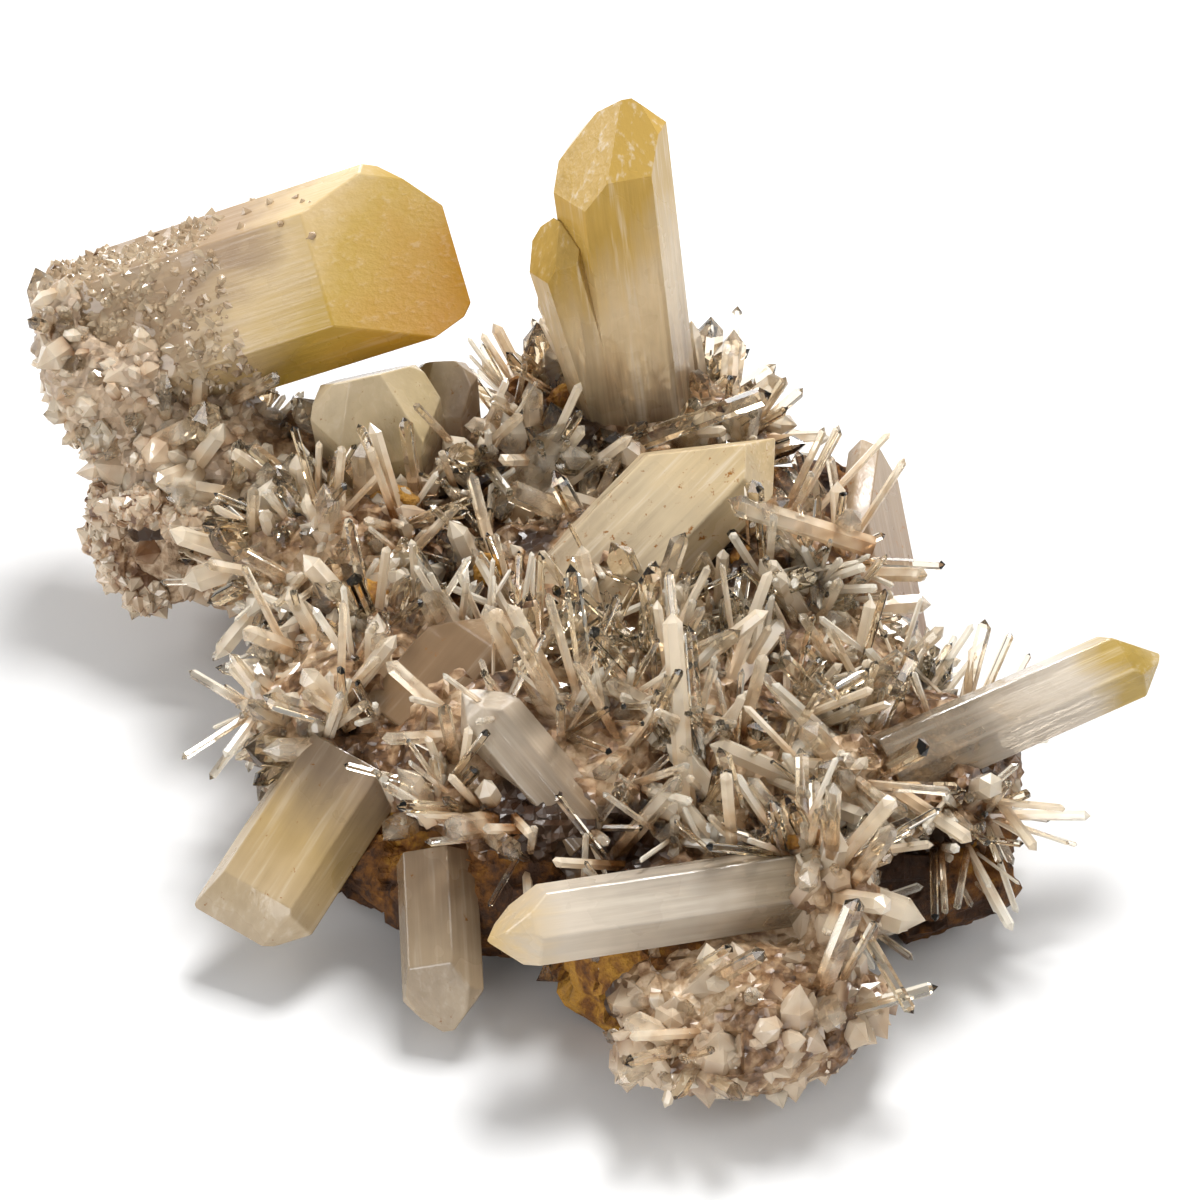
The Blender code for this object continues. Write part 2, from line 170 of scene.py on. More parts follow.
class Finish:
    """One material being built. Its patterns are measured in millimetres."""

    def __init__(self, name):
        self.material = bpy.data.materials.new(name)
        self.material.use_nodes = True
        self.tree = self.material.node_tree
        self.tree.nodes.clear()
        place = self.node("ShaderNodeTexCoord", {}, {}, "Object")
        self.place = self.node("ShaderNodeVectorMath", {"operation": "SCALE"}, {0: place, "Scale": 1 / MM})

    def node(self, kind, settings, sockets, output=0):
        """Adds a node: its settings first, then the value or the link of each socket."""
        made = self.tree.nodes.new(kind)
        for key, value in settings.items():
            if key == "stops":
                self.set_stops(made.color_ramp, value)
            else:
                setattr(made, key, value)
        for key, value in sockets.items():
            if isinstance(value, Wire):
                self.tree.links.new(value.socket, made.inputs[key])
            else:
                made.inputs[key].default_value = value
        return Wire(self, made.outputs[output])

    def set_stops(self, ramp, stops):
        while len(ramp.elements) < len(stops):
            ramp.elements.new(0.5)
        for element, (position, colour) in zip(ramp.elements, stops):
            element.position = position
            element.color = (*colour, 1)

    def vector(self, operation, first, second, output=0):
        """A sum on two vectors. The dot product and the distance give a number, which is output Value."""
        return self.node("ShaderNodeVectorMath", {"operation": operation}, {0: first, 1: second}, output)

    def stored(self, name):
        """A number stored at each corner of the mesh."""
        return self.node("ShaderNodeAttribute", {"attribute_name": name}, {}, "Fac")

    def noise(self, scale, detail=3.0, roughness=0.55, vector=None):
        """Cloudy noise with about this many spots to the millimetre, from 0 to 1."""
        sockets = {"Vector": vector or self.place, "Scale": scale, "Detail": detail, "Roughness": roughness}
        return self.node("ShaderNodeTexNoise", {}, sockets, "Fac")

    def step(self, value, low, high):
        """0 below low, 1 above high, and a soft rise between."""
        sockets = {"Value": value, "From Min": low, "From Max": high}
        return self.node("ShaderNodeMapRange", {"interpolation_type": "SMOOTHSTEP"}, sockets)

    def colours(self, value, *stops):
        return self.node("ShaderNodeValToRGB", {"stops": stops}, {"Fac": value})

    def blend(self, factor, first, second):
        """Mixes two colours."""
        sockets = {0: factor, 6: as_colour(first), 7: as_colour(second)}
        return self.node("ShaderNodeMix", {"data_type": "RGBA"}, sockets, 2)

    def bump(self, height, depth):
        """Relief of about this depth in millimetres."""
        return self.node("ShaderNodeBump", {}, {"Height": height, "Distance": depth * MM, "Strength": 1.0})

    def facets(self, size):
        """A height made of small tilted planes about this wide, as on a crust of crystals."""
        tilt = self.node("ShaderNodeTexVoronoi", {}, {"Vector": self.place, "Scale": 1 / size}, "Color")
        middle = Wire(self, tilt.socket.node.outputs["Position"])
        tilt = self.vector("SUBTRACT", tilt, (0.5, 0.5, 0.5))
        offset = self.vector("SUBTRACT", self.place, middle)
        return self.vector("DOT_PRODUCT", tilt, offset, "Value")

    def on_arm(self, ragged):
        """1 on the arm at the left and 0 elsewhere, with an edge that noise makes ragged."""
        sideways = self.node("ShaderNodeSeparateXYZ", {}, {0: self.place}, "X")
        return 1 - self.step(sideways + ragged * 6, -29.0, -22.0)

    def surface(self, sockets):
        return self.node("ShaderNodeBsdfPrincipled", {}, sockets)

    def mixed(self, factor, first, second):
        """Mixes two shaders."""
        return self.node("ShaderNodeMixShader", {}, {0: factor, 1: first, 2: second})

    def done(self, shader, absorbed=None, density=0.0):
        """Joins the shader to the output, with absorption of one colour where a density is given."""
        output = self.tree.nodes.new("ShaderNodeOutputMaterial")
        self.tree.links.new(shader.socket, output.inputs["Surface"])
        if density:
            sockets = {"Color": (*absorbed, 1), "Density": density}
            inside = self.node("ShaderNodeVolumeAbsorption", {}, sockets)
            self.tree.links.new(inside.socket, output.inputs["Volume"])
        return self.material


def as_colour(value):
    return value if isinstance(value, Wire) else (*value, 1)


QUARTZ_IOR = 1.544
ABSORBED = (0.86, 0.74, 0.58)  # what clear quartz with a breath of iron lets through
ABSORPTION = 60.0  # per metre
print("shader helpers ready")

# %% [markdown]
# # The rock
# The matrix is limonite-stained rock: dark brown in its pits and rusty ochre on its knobs. It could be
# sculpted, but overlapping rounded lumps joined by a voxel remesh give the same knobbly mass from a table
# of numbers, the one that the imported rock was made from. Here the skin keeps its fine grid and gets the
# smaller pits that the solid leaves out.

# %% Lumps joined into one rough skin
Lump = namedtuple("Lump", "centre radii sprays", defaults=[0])

ROCK = [
    Lump((2, -14, 6), (26, 16, 9)),
    Lump((-16, -8, 6), (12, 13, 8)),
    Lump((24, -17, 5.5), (11, 8.5, 7)),
    Lump((8, -29, 6), (12, 9, 6.5)),
    Lump((-5, 10, 7), (21, 14, 9)),
    Lump((-25, 22, 8), (15, 9, 8)),
    Lump((0, 28, 7), (17, 11, 8)),
    Lump((19, -3, 6), (10, 9, 7)),
    Lump((19, 16, 9), (8, 10, 8.5)),
    Lump((-38, 21, 9), (7, 6, 5.5)),
    Lump((-38, 26, 12), (6, 6, 7)),
]


def piece_from(bm, name):
    """A new object with this bmesh, moved from the table's place to the cluster's own."""
    mesh = bpy.data.meshes.new(name)
    bm.to_mesh(mesh)
    bm.free()
    mesh.transform(Matrix.Translation(-CENTRE * MM))
    piece = bpy.data.objects.new(name, mesh)
    bpy.context.scene.collection.objects.link(piece)
    return piece


def joined_lumps(lumps, voxel):
    """The lumps as one skin over a voxel grid, as a bmesh."""
    bm = bmesh.new()
    for lump in lumps:
        place = Matrix.Translation(Vector(lump.centre) * MM) @ Matrix.Diagonal((*lump.radii, 1 / MM)) * MM
        bmesh.ops.create_icosphere(bm, subdivisions=4, radius=1, matrix=place)
    mesh = bpy.data.meshes.new("lumps")
    bm.to_mesh(mesh)
    bm.clear()
    rough = bpy.data.objects.new("lumps", mesh)
    bpy.context.scene.collection.objects.link(rough)
    skin = rough.modifiers.new("skin", "REMESH")
    skin.mode = "VOXEL"
    skin.voxel_size = voxel * MM
    bpy.context.view_layer.update()
    bm.from_object(rough, bpy.context.evaluated_depsgraph_get())
    bpy.data.objects.remove(rough)
    return bm


def roughen(bm, bump, fine):
    """Moves each vertex along its normal: broad swells and blocks as on the solid, then fine pits."""
    bm.normal_update()
    moves = []
    for vertex in bm.verts:
        place = vertex.co / MM
        swell = noise.noise(place / 7.0) + 0.6 * (noise.cell(place / 3.5) - 0.5)
        pits = noise.fractal(place / 1.6, 1.0, 2.0, 4)
        moves.append(vertex.normal * (swell * bump + pits * fine) * MM)
    for vertex, move in zip(bm.verts, moves):
        vertex.co += move


def cut_flat(bm, height):
    """Removes what lies below this height and closes the cut."""
    everything = bm.verts[:] + bm.edges[:] + bm.faces[:]
    level = Vector((0, 0, height * MM))
    down = (0, 0, -1)
    found = bmesh.ops.bisect_plane(bm, geom=everything, plane_co=level, plane_no=down, clear_outer=True)
    rim = [part for part in found["geom_cut"] if isinstance(part, bmesh.types.BMEdge)]
    bmesh.ops.holes_fill(bm, edges=rim, sides=0)


RIM_PLANES = WALLS[-1]
RIM_SIDE = RIM_PLANES[1]  # the rim plate's outer face
RIM_OUTLINE = RIM_PLANES[3:7] + RIM_PLANES[9:]  # the planes along its edge
BEHIND_RIM = 3.4  # the plate's thickness and a gap, in millimetres
SKIN_GRID = 0.7  # fine enough for pits, coarse enough for under 30,000 faces


def keep_behind_rim(bm):
    """Moves the rock's skin back wherever it would come through the rim plate."""
    on_face, outward = RIM_SIDE
    for vertex in bm.verts:
        place = vertex.co / MM
        too_far = (place - on_face).dot(outward) + BEHIND_RIM
        if too_far > 0 and all((place - on).dot(normal) < 1 for on, normal in RIM_OUTLINE):
            vertex.co -= outward * too_far * MM


bm = joined_lumps(ROCK, SKIN_GRID)
roughen(bm, bump=1.4, fine=0.35)
keep_behind_rim(bm)
cut_flat(bm, 0.0)
rock = piece_from(bm, "rock_skin")
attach(rock, "root")
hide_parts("rock")
print("rock faces:", len(rock.data.polygons))

# %% [markdown]
# Two noises colour the limonite: a broad one for rusty and dark areas, and a fine one for ochre dust. A bump
# repeats the fine one, so that the dust has a grain.

# %% Finish of the rock
def iron_stained(name, brightness=0.0):
    """Rusty, pitted limonite. A higher brightness turns it from brown to ochre."""
    finish = Finish(name)
    areas = finish.noise(0.12, 2)
    dust = finish.noise(0.9, 4, 0.65)
    tone = areas * 0.75 + dust * 0.5 + (brightness - 0.12)
    colour = finish.colours(
        tone.clamped(), (0.25, (0.012, 0.005, 0.002)), (0.45, (0.045, 0.017, 0.005)),
        (0.57, (0.17, 0.065, 0.010)), (0.68, (0.38, 0.19, 0.025)), (0.82, (0.22, 0.12, 0.05)),
    )
    crusted = finish.colours(
        dust, (0.3, (0.16, 0.08, 0.04)), (0.5, (0.42, 0.29, 0.18)), (0.65, (0.64, 0.50, 0.36)),
    )
    colour = finish.blend(finish.on_arm(areas) * 0.85, colour, crusted)
    relief = finish.bump(dust + finish.facets(1.0), 0.5)
    return finish.done(finish.surface(
        {"Base Color": colour, "Roughness": 0.6 + dust * 0.35, "Normal": relief, "Specular IOR Level": 0.35}
    ))


rock.data.materials.append(iron_stained("iron_stained_rock"))
print("rock finished")

# %% [markdown]
# # The bed of the druse
# Between the needles one sees the crowded feet of tiny crystals, milky and stained brown. The bed is the
# skin below them, made as the rock was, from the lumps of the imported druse.

# %% The bed
DRUSE = [
    Lump((0, -13, 12.5), (20, 13, 6.5), 26),
    Lump((11, -35.5, 6), (11, 8, 5.8), 4),
    Lump((17.5, -29.3, 12.3), (4, 4.5, 4.6), 4),
    Lump((20.2, -19.5, 13.6), (4.2, 3.8, 4.8), 2),
    Lump((8, -27, 9), (12, 7, 5), 5),
    Lump((-18, -6, 12), (11, 11.5, 5.5), 9),
    Lump((25, -14, 10.5), (9.5, 9, 5.8), 9),
    Lump((19, -3, 11.5), (8, 8, 5.5), 5),
    Lump((2, 8, 13), (14, 10, 6), 8),
    Lump((16.5, 7, 12.5), (7.5, 9, 7), 8),
    Lump((-22, 12, 13), (10, 9, 6), 9),
    Lump((-28, 23, 13.5), (11, 7, 6), 5),
    Lump((-36, 25, 16), (8, 7, 6), 3),
    Lump((-45.4, 25.9, 22), (4.5, 4, 5.5)),
    Lump((-47.5, 29.5, 26), (3, 4, 4.5)),
    Lump((-40.5, 25, 22.6), (4.5, 3.8, 4.5)),
    Lump((-46, 29, 18.5), (3.4, 4.5, 3.6)),
    Lump((-41.5, 25.5, 16), (4.6, 5, 5)),
    Lump((-38.5, 22, 11), (6.6, 6, 6)),
    Lump((-8, 21, 14), (8, 6, 6), 4),
    Lump((2, 28, 14), (14, 9, 6), 12),
]
DRUSE_FLOOR = 0.4

bm = joined_lumps(DRUSE, SKIN_GRID)
roughen(bm, bump=1.2, fine=0.45)
cut_flat(bm, DRUSE_FLOOR)
bed = piece_from(bm, "druse_bed")
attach(bed, "root")
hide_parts("druse")
print("bed faces:", len(bed.data.polygons))

# %% [markdown]
# Here and there the crystals leave a hollow full of shadow over brown. Light alone would leave it too pale,
# so its shade is painted into the colour as a dark brown: painted shade. How deep each vertex lies in a
# hollow is worked out once in Python and stored as an attribute, which renders faster than the same sums in
# the shader. Noise makes the edge ragged, and small tilted planes in the bump glitter like crystals.

# %% Finish of the bed
Hollow = namedtuple("Hollow", "centre reach")

HOLLOWS = [
    Hollow((-9.1, 31, 21), 5),
    Hollow((-13.1, 15.6, 15.8), 4.6),
    Hollow((-15, 10.5, 15.3), 4),
    Hollow((10, 6, 18.5), 5),
    Hollow((17, 22, 15), 6),
    Hollow((-5, -24, 14), 6.5),
    Hollow((2, -24.6, 13.4), 4.5),
    Hollow((0, -33.8, 5), 6.5),
    Hollow((14, -25.5, 13), 5),
    Hollow((-18, -15.4, 8.3), 4),
    Hollow((-5.5, 8.9, 16.5), 3),
    Hollow((23, 15.3, 10.5), 6),
    Hollow((-38.6, 16.4, 12.6), 4.6),
    Hollow((27, -21, 8), 5),
    Hollow((-4, 24, 18.5), 6.5),
    Hollow((5, 19, 18.5), 5),
    Hollow((-33, 15.2, 12), 4),
]


def mark_hollows(mesh):
    """Stores how deep each vertex lies in a hollow: 1 at its centre, 0 from its edge outwards, for painted
    shade.
    """
    places = np.empty(len(mesh.vertices) * 3)
    mesh.vertices.foreach_get("co", places)
    places = places.reshape(-1, 3) / MM + np.array(CENTRE)
    depths = [1 - np.linalg.norm(places - hollow.centre, axis=1) / hollow.reach for hollow in HOLLOWS]
    depth = np.clip(np.max(depths, axis=0), 0, 1)
    mesh.attributes.new("hollow", "FLOAT", "POINT").data.foreach_set("value", depth)


mark_hollows(bed.data)
finish = Finish("stained_bed")
areas = finish.noise(0.16, 2)
spots = finish.noise(0.9, 3, 0.6)
tone = areas * 0.8 + spots * 0.8 - 0.33
colour = finish.colours(
    tone.clamped(), (0.25, (0.040, 0.016, 0.006)), (0.42, (0.21, 0.11, 0.05)), (0.56, (0.44, 0.29, 0.165)),
    (0.72, (0.64, 0.49, 0.33)), (0.85, (0.36, 0.16, 0.035)),
)
colour = finish.blend(finish.on_arm(areas) * 0.6, colour, (0.62, 0.49, 0.36))
# Painted shade: the deeper in a hollow, the closer the colour comes to a near-black brown.
painted_shade = finish.step(finish.stored("hollow") + (spots - 0.5) * 0.3, 0.05, 0.4)
painted_shade_colours = finish.colours(painted_shade, (0.2, (0.17, 0.075, 0.022)), (0.8, (0.030, 0.012, 0.005)))
colour = finish.blend(painted_shade * 0.95, colour, painted_shade_colours)
relief = finish.bump(finish.facets(0.8) * 1.7, 1.0)
bed.data.materials.append(finish.done(finish.surface(
    {"Base Color": colour, "Roughness": 0.2 + spots * 0.3, "Normal": relief, "IOR": QUARTZ_IOR}
)))
print("bed finished, dark hollows:", len(HOLLOWS))

# %% [markdown]
# At the lower end of the arm the crystals are too fine to tell apart and form round cream knobs about a
# hollow. They are lumps again, with a grainy relief, and a few lie in the clump at the front too.

# %% Round cream knobs
KNOBS = [
    Lump((-43.2, 19.6, 13.2), (2.6, 2.5, 2.1)),
    Lump((-44, 18.6, 10.6), (2.4, 2.4, 2.3)),
    Lump((-42.6, 17.2, 8.2), (2.2, 2.1, 2.1)),
    Lump((-40.4, 15.8, 6.8), (2, 2, 2)),
    Lump((-40, 17, 15), (2.4, 2, 1.7)),
    Lump((-36, 15.6, 14.6), (2.8, 2.2, 2)),
    Lump((-33.6, 15.4, 9.6), (2.6, 2.3, 2.6)),
    Lump((-29.5, 15.4, 11), (2.4, 2.2, 2.4)),
    Lump((9.5, -41, 6.5), (3.2, 2, 2.4)),
    Lump((4, -40, 6), (2.8, 2.2, 2.2)),
    Lump((14.5, -39, 8), (3, 2.4, 2.2)),
]

bm = joined_lumps(KNOBS, 0.35)
roughen(bm, bump=0.45, fine=0.35)
knobs = piece_from(bm, "cream_knobs")
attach(knobs, "root")
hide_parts("druse")
finish = Finish("cream_knobs")
areas = finish.noise(0.25, 2)
grains = finish.noise(1.4, 3, 0.6)
colour = finish.colours(
    (areas * 0.6 + grains * 0.6 - 0.17).clamped(), (0.35, (0.14, 0.07, 0.035)), (0.48, (0.44, 0.28, 0.16)),
    (0.6, (0.66, 0.52, 0.36)), (0.8, (0.78, 0.68, 0.52)),
)
relief = finish.bump(finish.facets(0.9) * 1.2, 0.8)
knobs.data.materials.append(finish.done(finish.surface({
    "Base Color": colour, "Roughness": 0.25 + grains * 0.3, "Normal": relief, "IOR": QUARTZ_IOR,
})))
print("cream knobs faces:", len(knobs.data.polygons))

# %% [markdown]
# # The needles
# Clear needles 0.7 to 2.3 millimetres thick radiate from over a hundred points on the bed. They could be
# scattered by Geometry Nodes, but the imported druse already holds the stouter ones, so the same seeded
# recipe is run again here. It gives the stout needles in the same places and the thin ones too.

# %% The recipe of the sprays
Needle = namedtuple("Needle", "foot tip width turn")

SPRAY_SEED = 27
GOLDEN_ANGLE = 2.39996
SPRAY_NEEDLES = (4, 9)
SPRAY_CONE = math.radians(58)
NEEDLE_LENGTH = (4.0, 11.0)
NEEDLE_WIDTH = (0.7, 2.3)
GAP = 0.3

solid_rock = bmesh.new()
solid_rock.from_mesh(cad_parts["rock"].data)
solid_rock.transform(Matrix.Translation(CENTRE * MM))
rock_skin = BVHTree.FromBMesh(solid_rock)
solid_rock.free()


def in_lump(point, lump, margin):
    offset = point - Vector(lump.centre)
    return Vector(offset[i] / (lump.radii[i] + margin) for i in range(3)).length < 1


def spray_needles():
    draw = random.Random(SPRAY_SEED)
    needles = []
    for lump in DRUSE:
        start = draw.uniform(0, 2 * math.pi)
        for number in range(lump.sprays):
            turn = start + GOLDEN_ANGLE * number
            height = 1 - 0.75 * (number + 0.5) / lump.sprays
            level = math.sqrt(1 - height * height)
            out = Vector((level * math.cos(turn), level * math.sin(turn), height))
            root = Vector(lump.centre) + Vector(out[i] * lump.radii[i] for i in range(3))
            normal = Vector(out[i] / lump.radii[i] for i in range(3)).normalized()
            buried = any(in_lump(root, other, -0.6) for other in DRUSE if other is not lump)
            for _ in range(draw.randint(*SPRAY_NEEDLES)):
                needle = spray_needle(draw, root, normal, 0.4 + 0.6 * height)
                if not buried:
                    needles.append(needle)
    return [needle for needle in needles if is_free(needle)]


def spray_needle(draw, root, normal, growth):
    """One needle that leans out of the root within the spray's cone. Those on the flanks grow less."""
    lean = SPRAY_CONE * math.sqrt(draw.random())
    turn = draw.uniform(0, 2 * math.pi)
    shift = Vector(draw.uniform(-1.6, 1.6) for _ in range(3))
    length = draw.uniform(*NEEDLE_LENGTH) * growth
    width = NEEDLE_WIDTH[0] + (NEEDLE_WIDTH[1] - NEEDLE_WIDTH[0]) * draw.random() ** 2.2
    side = normal.orthogonal().normalized()
    other = normal.cross(side)
    direction = normal * math.cos(lean) + (side * math.cos(turn) + other * math.sin(turn)) * math.sin(lean)
    foot = root + shift - shift.dot(normal) * normal - normal * 1.6
    return Needle(foot, foot + direction * (length + 1.6), width, turn)


def is_free(needle):
    """True if the needle clears the large crystals and the rock, and stays above the ground."""
    along = needle.tip - needle.foot
    for step in range(13):
        point = needle.foot + along * step / 12
        if point.z < DRUSE_FLOOR + needle.width / 2:
            return False
        if step > 2 and in_large_crystal(point, needle.width / 2 + GAP):
            return False
        *_, distance = rock_skin.find_nearest(point * MM)
        if distance < (needle.width / 2 + GAP) * MM:
            return False
    return True


sprayed = spray_needles()
print("needles in the sprays:", len(sprayed))

# %% [markdown]
# A few single crystals stand out in the photograph, such as the tall needles in front of the centre and the
# stubs right of the tall pair. They have their own table: foot, tip and width.

# %% Single small crystals
ACCENTS = [
    ((-26, -4.4, 13), (-32, -3.9, 14), 1.4),
    ((9.6, 32.5, 15), (10.1, 33.6, 24), 2.6),
    ((11.4, 31.5, 15), (12.4, 34.7, 22), 2.4),
    ((11.5, 31.5, 16.5), (16.2, 33.3, 19), 1.8),
    ((7, -25, 13), (5.6, -14.3, 28), 1.6),
    ((8.2, -24, 13), (6.9, -14.7, 27), 1.3),
    ((21, -6.1, 14), (22.3, -3.6, 21), 1.3),
    ((23.5, -8, 12), (29.3, -5.5, 16), 2.2),
    ((26, -9, 11), (28.9, -5.9, 14), 1.6),
    ((12.5, -37.5, 4.5), (13.9, -42.3, 1.6), 2),
    ((-48.2, 29.5, 23), (-49.7, 32.5, 30.2), 3.4),
    ((0, -0.8, 16), (-1.7, 2.3, 22), 1.4),
    ((4.2, -0.1, 15), (6.8, 1.5, 24), 1.6),
    ((-13, -22, 13.2), (-15.8, -20.5, 17.5), 3),
    ((3.3, -5.5, 16), (4.5, -1.1, 23), 1.4),
    ((-8.4, 19.4, 14), (-7.3, 21, 22.5), 3),
    ((-8.1, 15.8, 13.5), (-2.6, 19, 22.5), 4.4),
    ((-8.8, 19.5, 15), (-14.1, 20.7, 20), 3),
    ((3.5, 21.5, 19), (15, 21, 24.5), 1.8),
    ((14.9, -29.5, 11), (13.1, -27.2, 20), 1.5),
    ((15.9, -20, 13), (16.9, -16.8, 18.5), 3.8),
    ((-10.6, 7.3, 15), (-12.5, 7.8, 20.5), 2.2),
    ((8.8, 8, 18), (16, 7.9, 22.5), 1.6),
    ((-30, 13, 13), (-29.3, 15.6, 19.5), 2.6),
    ((-26.3, 15, 13), (-26.7, 17.3, 21), 2.8),
    ((-38.9, 23.2, 19), (-38.2, 23.4, 25), 2),
    ((-35.6, 24.2, 20.5), (-34.8, 24.6, 28), 1.7),
    ((22.8, 3.6, 20.8), (10.5, 4.3, 25), 1.9),
    ((-41, 16, 7.5), (-41.6, 14.6, 4.2), 2),
]
accents = [Needle(Vector(foot), Vector(tip), width, 0.4) for foot, tip, width in ACCENTS]
print("single small crystals:", len(accents))

# %% [markdown]
# Every needle has the same few faces, so one pattern crystal is modelled and its corners are copied, which
# is quick. Its foot lies at height 0, its shoulder at 1 and its point at 2, so a copy can be long without
# its point being drawn out. Each copy also carries two numbers for its finish: how far along the needle a
# corner lies, and one random tint.

# %% One pattern crystal, copied along every needle
def pattern_crystal():
    bm = bmesh.new()
    bmesh.ops.create_cone(bm, cap_ends=True, segments=SIDES, radius1=1, radius2=1, depth=1)
    bmesh.ops.translate(bm, verts=bm.verts, vec=(0, 0, 0.5))
    top = max(bm.faces, key=lambda face: face.calc_center_median().z)
    apex = bmesh.ops.poke(bm, faces=[top])["verts"][0]
    apex.co.z = 2
    bmesh.ops.recalc_face_normals(bm, faces=bm.faces)
    bm.verts.index_update()
    points = np.array([vertex.co for vertex in bm.verts])
    faces = [[vertex.index for vertex in face.verts] for face in bm.faces]
    bm.free()
    return points, faces


PATTERN, PATTERN_FACES = pattern_crystal()
POINT_LENGTH = 1.1  # of the needle's radius
TWIST = 0.3  # how far a point may lean off the axis, as a share of the radius


def needle_points(needle, draw):
    """The pattern crystal's corners, stretched and turned to lie along one needle."""
    axis = needle.tip - needle.foot
    radius = needle.width / 2
    point = POINT_LENGTH * radius
    shape = np.zeros_like(PATTERN)
    shape[:, 0] = PATTERN[:, 0] * radius
    shape[:, 1] = PATTERN[:, 1] * radius * draw.uniform(0.65, 1.0)
    shape[:, 2] = np.interp(PATTERN[:, 2], (0, 1, 2), (0, axis.length - point, axis.length))
    at_apex = PATTERN[:, 2] > 1.5
    shape[at_apex, :2] = (draw.uniform(-TWIST, TWIST) * radius, draw.uniform(-TWIST, TWIST) * radius)
    stand = axis.to_track_quat("Z", "Y").to_matrix() @ Matrix.Rotation(needle.turn, 3, "Z")
    return shape @ np.array(stand).T + np.array(needle.foot - CENTRE)


def needles_piece(name, needles, seed):
    """Many needles as one mesh, with the numbers that their finish reads."""
    draw = random.Random(seed)
    points = [needle_points(needle, draw) for needle in needles]
    faces = []
    for number in range(len(needles)):
        faces.extend([number * len(PATTERN) + corner for corner in face] for face in PATTERN_FACES)
    mesh = bpy.data.meshes.new(name)
    mesh.from_pydata(np.concatenate(points) * MM, [], faces)
    along = np.tile(np.clip(PATTERN[:, 2], 0, 1), len(needles))
    tint = np.repeat([draw.random() for _ in needles], len(PATTERN))
    for label, values in (("along", along), ("tint", tint)):
        mesh.attributes.new(label, "FLOAT", "POINT").data.foreach_set("value", values)
    # How deep each corner lies in a hollow, which the finish turns into painted shade.
    mark_hollows(mesh)
    piece = bpy.data.objects.new(name, mesh)
    bpy.context.scene.collection.objects.link(piece)
    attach(piece, "root")
    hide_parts("druse")
    print(name, "crystals:", len(needles))
    return piece


LOW, HIGH = ([value / MM + CENTRE[axis] for axis, value in enumerate(corner)] for corner in solid_box)


def in_box(point, margin):
    return all(LOW[axis] + margin < point[axis] < HIGH[axis] - margin for axis in range(3))


sprayed = [needle for needle in sprayed if in_box(needle.tip, 0.0)]
needles = needles_piece("needles", accents + sprayed, 3)

# %% [markdown]
# Between the long needles grow shorter and finer ones, far too many for a table. They are drawn from the
# faces of the bed: a random face, then a few crystals that radiate from it. Fine needles keep to the
# middle, stouter crystals to the rest, and the arm and the front clump carry a blunt crust.

# %% Where small crystals may grow
def region(point):
    if point.y < -30 and point.z < 14:
        return "clump"
    if point.x < -31:
        return "crust"
    return "field" if point.x > -13 and -28 < point.y < 9 else "border"


OPEN_FACES = {"sunken_crystal": 3.5, "milky_crystal": 2.0, "centre_crystal": 2.2, "right_crystal": 1.5}
BARE_SHARE = 0.55  # of a hollow's reach, in which no small crystal ends


def crowds_large_crystal(point):
    """True if the point lies closer to a large crystal than small crystals grow."""
    margins = [OPEN_FACES.get(crystal.name, 1.0) for crystal in CRYSTALS]
    return any(
        all((point - on).dot(normal) < margin for on, normal in planes)
        for margin, planes in zip(margins, WALLS)
    )


def stands_clear(needle):
    """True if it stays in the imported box, clear of ground, rock, hollows, large crystals and rim plate."""
    top = needle.tip
    if min(needle.foot.z, top.z) < needle.width / 2 + 0.1:
        return False
    if not in_box(top, 0.1) or top.z < 0.8 or any(in_lump(top, lump, 0.2) for lump in ROCK):
        return False
    if any((top - Vector(hollow.centre)).length < hollow.reach * BARE_SHARE for hollow in HOLLOWS):
        return False
    on, outward = RIM_SIDE
    near_rim = top.y > 3 and top.x > 18
    if near_rim and (top - on).dot(outward) > -2.0:
        return False
    return not crowds_large_crystal(top) and not in_large_crystal((needle.foot + top) / 2, 0.3)


def leaning(normal, lean, turn):
    """The normal, leaned over by one angle towards the side that the other angle names."""
    side = normal.orthogonal().normalized()
    other = normal.cross(side)
    return normal * math.cos(lean) + (side * math.cos(turn) + other * math.sin(turn)) * math.sin(lean)


# %% [markdown]
# One function then grows every kind. Each call says how many groups to try, how many crystals a group has,
# how long and wide they are, how far they spread, and which share of the groups each region keeps.

# %% Groups of crystals that radiate from the bed
Growth = namedtuple("Growth", "count seed group length width cone sunk shares")


def scattered(mesh, growth):
    """Crystals in groups on random faces. The shares say how many groups are kept in each region."""
    draw = random.Random(growth.seed)
    areas = np.empty(len(mesh.polygons))
    mesh.polygons.foreach_get("area", areas)
    ends = np.cumsum(areas)
    found = []
    for _ in range(growth.count):
        face = mesh.polygons[int(np.searchsorted(ends, draw.random() * ends[-1]))]
        normal = Vector(face.normal)
        foot = Vector(face.center) / MM + CENTRE - normal * growth.sunk
        kept = draw.random() < growth.shares[region(foot)]
        for _ in range(draw.randint(*growth.group)):
            lean = growth.cone * math.sqrt(draw.random())
            direction = leaning(normal, lean, draw.uniform(0, 2 * math.pi))
            start = foot + Vector(draw.uniform(-0.4, 0.4) for _ in range(3))
            end = start + direction * (draw.uniform(*growth.length) + growth.sunk)
            needle = Needle(start, end, draw.uniform(*growth.width), draw.uniform(0, 3))
            if kept and stands_clear(needle):
                found.append(needle)
    return found


